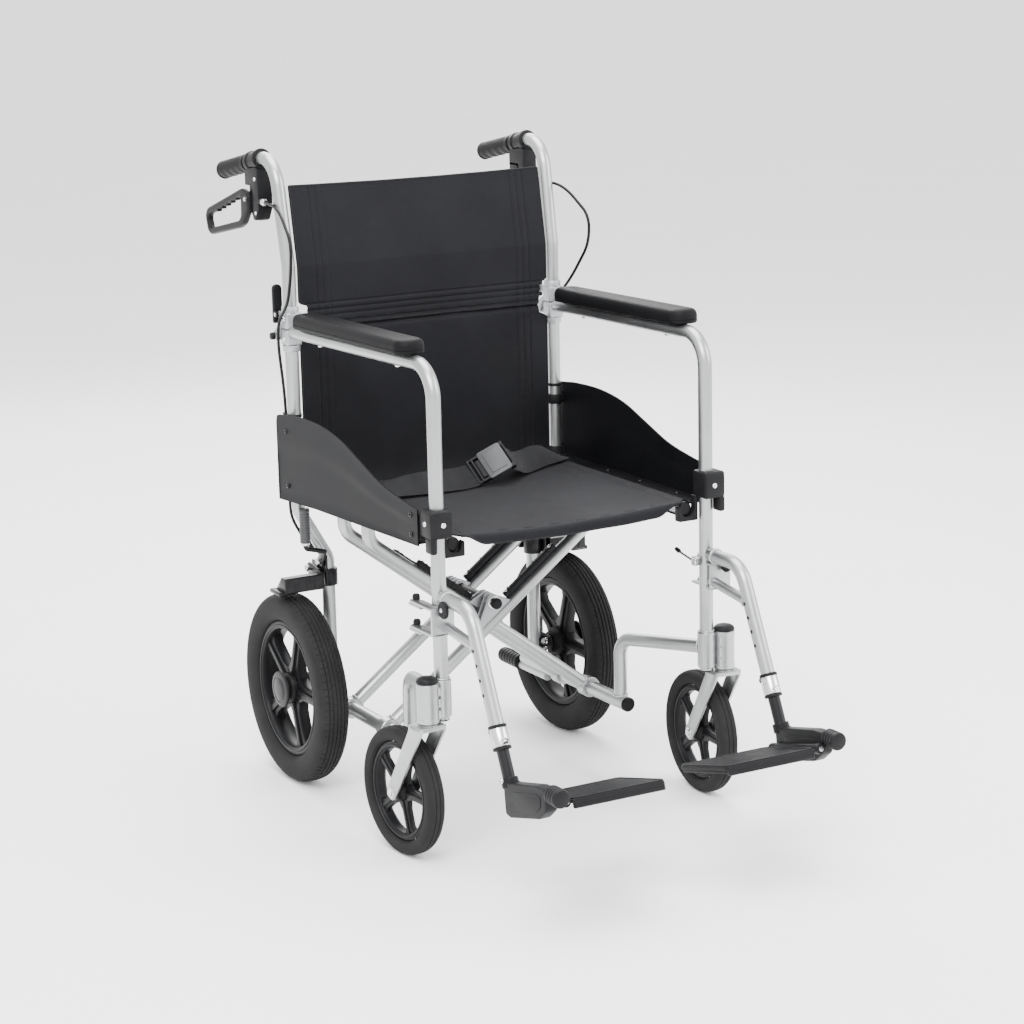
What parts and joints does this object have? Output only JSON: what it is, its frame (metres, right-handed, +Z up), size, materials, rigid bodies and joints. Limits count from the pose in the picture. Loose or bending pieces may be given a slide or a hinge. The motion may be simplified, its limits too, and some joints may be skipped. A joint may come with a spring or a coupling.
{
  "type": "manual wheelchair",
  "caption": "Folding attendant-pushed wheelchair with small rear wheels, swivel casters, sling seat, fold-down back and swing-away footrests.",
  "frame": {"origin": "on the floor, at the centre of the overall box", "axes": "+Z up, -Y the way the sitter faces, +X the sitter's left"},
  "size_m": [0.5948, 1.114, 1.037],
  "materials": {
    "silver": "satin",
    "bright_steel": "bright",
    "dark_steel": "satin",
    "fabric": "woven nylon",
    "webbing": "woven strap",
    "black_plastic": "fine grain",
    "panel_plastic": "smooth",
    "pad": "soft moulded skin",
    "wheel_plastic": "moulded",
    "tyre": "ribbed",
    "grip_rubber": "ribbed",
    "cable": "smooth sheath"
  },
  "bodies": {
    "frame_right": {"side_frame_right": "silver", "rear_post_right": "silver", "pivot_tube_right": "silver", "end_caps_right": "black_plastic", "armrest_pad_right": "pad", "side_panel_right": "panel_plastic", "seat_cradle_right": "black_plastic", "lock_bracket_right": "dark_steel", "brake_cable_right": "cable", "back_lower": "fabric"},
    "handle_right": {"handle_tube_right": "silver", "push_grip_right": "grip_rubber", "brake_housing_right": "black_plastic", "back_upper": "fabric"},
    "brake_lever_right": {"brake_lever_right": "black_plastic"},
    "release_lever_right": {"release_lever_right": "black_plastic"},
    "rear_wheel_right": {"rear_wheel_right": "wheel_plastic", "rear_tyre_right": "tyre"},
    "caster_fork_right": {"caster_fork_right": "silver"},
    "caster_wheel_right": {"caster_wheel_right": "wheel_plastic", "caster_tyre_right": "tyre"},
    "lock_lever_right": {"lock_lever_right": "dark_steel"},
    "lock_shoe_right": {"lock_shoe_right": "dark_steel"},
    "hanger_right": {"hanger_right": "silver"},
    "hanger_latch_right": {"hanger_latch_right": "bright_steel"},
    "footrest_stem_right": {"footrest_stem_right": "bright_steel"},
    "footplate_right": {"footplate_right": "black_plastic"},
    "frame_left": {"side_frame_left": "silver", "rear_post_left": "silver", "pivot_tube_left": "silver", "end_caps_left": "black_plastic", "armrest_pad_left": "pad", "side_panel_left": "panel_plastic", "seat_cradle_left": "black_plastic", "lock_bracket_left": "dark_steel", "brake_cable_left": "cable"},
    "handle_left": {"handle_tube_left": "silver", "push_grip_left": "grip_rubber", "brake_housing_left": "black_plastic"},
    "brake_lever_left": {"brake_lever_left": "black_plastic"},
    "release_lever_left": {"release_lever_left": "black_plastic"},
    "rear_wheel_left": {"rear_wheel_left": "wheel_plastic", "rear_tyre_left": "tyre"},
    "caster_fork_left": {"caster_fork_left": "silver"},
    "caster_wheel_left": {"caster_wheel_left": "wheel_plastic", "caster_tyre_left": "tyre"},
    "lock_lever_left": {"lock_lever_left": "dark_steel"},
    "lock_shoe_left": {"lock_shoe_left": "dark_steel"},
    "hanger_left": {"hanger_left": "silver"},
    "hanger_latch_left": {"hanger_latch_left": "bright_steel"},
    "footrest_stem_left": {"footrest_stem_left": "bright_steel"},
    "footplate_left": {"footplate_left": "black_plastic"},
    "brace_b": {"brace_b": "silver", "brace_guards_b": "black_plastic", "seat_sling": "fabric", "seat_belt": "webbing", "belt_buckle": "black_plastic"},
    "brace_a": {"brace_a": "silver", "brace_guards_a": "black_plastic"}
  },
  "joints": [
    {"name": "fold", "type": "hinge", "parent": "frame_right", "child": "brace_b", "pos_m": [-0.194, 0, 0.131], "axis": [0, -1, 0], "range_deg": [0, 33], "deforming": ["seat_sling", "seat_belt", "belt_buckle", "back_lower", "back_upper"]},
    {"name": "fold_centre", "type": "hinge", "parent": "brace_b", "child": "brace_a", "pos_m": [0, 0, 0.312], "axis": [0, -1, 0], "range_deg": [-66, 0]},
    {"name": "fold_left", "type": "hinge", "parent": "brace_a", "child": "frame_left", "pos_m": [0.194, 0, 0.131], "axis": [0, -1, 0], "range_deg": [0, 33]},
    {"name": "back_fold_right", "type": "hinge", "parent": "frame_right", "child": "handle_right", "pos_m": [-0.243, 0.31, 0.741], "axis": [-1, 0, 0], "range_deg": [0, 100], "deforming": ["brake_cable_right"]},
    {"name": "brake_right", "type": "hinge", "parent": "handle_right", "child": "brake_lever_right", "pos_m": [-0.258, 0.384, 0.956], "axis": [1, 0, 0], "range_deg": [0, 14], "stiffness_Nm_per_rad": 0.8, "springref_deg": -8.59},
    {"name": "release_right", "type": "hinge", "parent": "handle_right", "child": "release_lever_right", "pos_m": [-0.243, 0.314, 0.7745], "axis": [-1, 0, 0], "range_deg": [0, 18], "stiffness_Nm_per_rad": 0.3, "springref_deg": -5.73},
    {"name": "rear_wheel_spin_right", "type": "hinge", "parent": "frame_right", "child": "rear_wheel_right", "pos_m": [-0.256, 0.281, 0.158], "axis": [1, 0, 0], "continuous": true},
    {"name": "caster_swivel_right", "type": "hinge", "parent": "frame_right", "child": "caster_fork_right", "pos_m": [-0.2646, -0.2105, 0.257], "axis": [0, 0, 1], "continuous": true},
    {"name": "caster_spin_right", "type": "hinge", "parent": "caster_fork_right", "child": "caster_wheel_right", "pos_m": [-0.27064, -0.13374, 0.1], "axis": [0.9969, 0.0785, 0], "continuous": true},
    {"name": "wheel_lock_right", "type": "hinge", "parent": "frame_right", "child": "lock_lever_right", "pos_m": [-0.2105, 0.266, 0.368], "axis": [1, 0, 0], "range_deg": [0, 35]},
    {"name": "lock_shoe_right", "type": "hinge", "parent": "frame_right", "child": "lock_shoe_right", "pos_m": [-0.2155, 0.296, 0.352], "axis": [1, 0, 0], "range_deg": [0, 8.75]},
    {"name": "hanger_swing_right", "type": "hinge", "parent": "frame_right", "child": "hanger_right", "pos_m": [-0.255, -0.165, 0.38], "axis": [0, 0, -1], "range_deg": [0, 90]},
    {"name": "hanger_release_right", "type": "hinge", "parent": "frame_right", "child": "hanger_latch_right", "pos_m": [-0.214, -0.203, 0.403], "axis": [1, 0, 0], "range_deg": [0, 20], "stiffness_Nm_per_rad": 0.1, "springref_deg": -5.73},
    {"name": "footrest_height_right", "type": "slide", "parent": "hanger_right", "child": "footrest_stem_right", "axis": [0, 0.4225, 0.9064], "range_m": [0, 0.038]},
    {"name": "footplate_flip_right", "type": "hinge", "parent": "footrest_stem_right", "child": "footplate_right", "pos_m": [-0.218, -0.41, 0.1545], "axis": [0, -0.9673, 0.2538], "range_deg": [0, 86]},
    {"name": "back_fold_left", "type": "hinge", "parent": "frame_left", "child": "handle_left", "pos_m": [0.243, 0.31, 0.741], "axis": [-1, 0, 0], "range_deg": [0, 100], "deforming": ["brake_cable_left"]},
    {"name": "brake_left", "type": "hinge", "parent": "handle_left", "child": "brake_lever_left", "pos_m": [0.258, 0.384, 0.956], "axis": [1, 0, 0], "range_deg": [0, 14], "stiffness_Nm_per_rad": 0.8, "springref_deg": -8.59},
    {"name": "release_left", "type": "hinge", "parent": "handle_left", "child": "release_lever_left", "pos_m": [0.243, 0.314, 0.7745], "axis": [-1, 0, 0], "range_deg": [0, 18], "stiffness_Nm_per_rad": 0.3, "springref_deg": -5.73},
    {"name": "rear_wheel_spin_left", "type": "hinge", "parent": "frame_left", "child": "rear_wheel_left", "pos_m": [0.256, 0.281, 0.158], "axis": [1, 0, 0], "continuous": true},
    {"name": "caster_swivel_left", "type": "hinge", "parent": "frame_left", "child": "caster_fork_left", "pos_m": [0.2646, -0.2105, 0.257], "axis": [0, 0, 1], "continuous": true},
    {"name": "caster_spin_left", "type": "hinge", "parent": "caster_fork_left", "child": "caster_wheel_left", "pos_m": [0.27064, -0.13374, 0.1], "axis": [0.9969, -0.0785, 0], "continuous": true},
    {"name": "wheel_lock_left", "type": "hinge", "parent": "frame_left", "child": "lock_lever_left", "pos_m": [0.2105, 0.266, 0.368], "axis": [1, 0, 0], "range_deg": [0, 35]},
    {"name": "lock_shoe_left", "type": "hinge", "parent": "frame_left", "child": "lock_shoe_left", "pos_m": [0.2155, 0.296, 0.352], "axis": [1, 0, 0], "range_deg": [0, 8.75]},
    {"name": "hanger_swing_left", "type": "hinge", "parent": "frame_left", "child": "hanger_left", "pos_m": [0.255, -0.165, 0.38], "axis": [0, 0, 1], "range_deg": [0, 90]},
    {"name": "hanger_release_left", "type": "hinge", "parent": "frame_left", "child": "hanger_latch_left", "pos_m": [0.214, -0.203, 0.403], "axis": [1, 0, 0], "range_deg": [0, 20], "stiffness_Nm_per_rad": 0.1, "springref_deg": -5.73},
    {"name": "footrest_height_left", "type": "slide", "parent": "hanger_left", "child": "footrest_stem_left", "axis": [0, 0.4225, 0.9064], "range_m": [0, 0.038]},
    {"name": "footplate_flip_left", "type": "hinge", "parent": "footrest_stem_left", "child": "footplate_left", "pos_m": [0.218, -0.41, 0.1545], "axis": [0, 0.9673, -0.2538], "range_deg": [0, 86]}
  ],
  "couplings": [
    {"joint": "fold_centre", "follows": "fold", "ratio": -2},
    {"joint": "fold_left", "follows": "fold", "ratio": 1},
    {"joint": "lock_shoe_right", "follows": "wheel_lock_right", "ratio": 0.25},
    {"joint": "footplate_flip_right", "follows": "fold", "ratio": 2.6},
    {"joint": "lock_shoe_left", "follows": "wheel_lock_left", "ratio": 0.25},
    {"joint": "footplate_flip_left", "follows": "fold", "ratio": 2.6},
    {"joint": "back_fold_left", "follows": "back_fold_right", "ratio": 1}
  ]
}
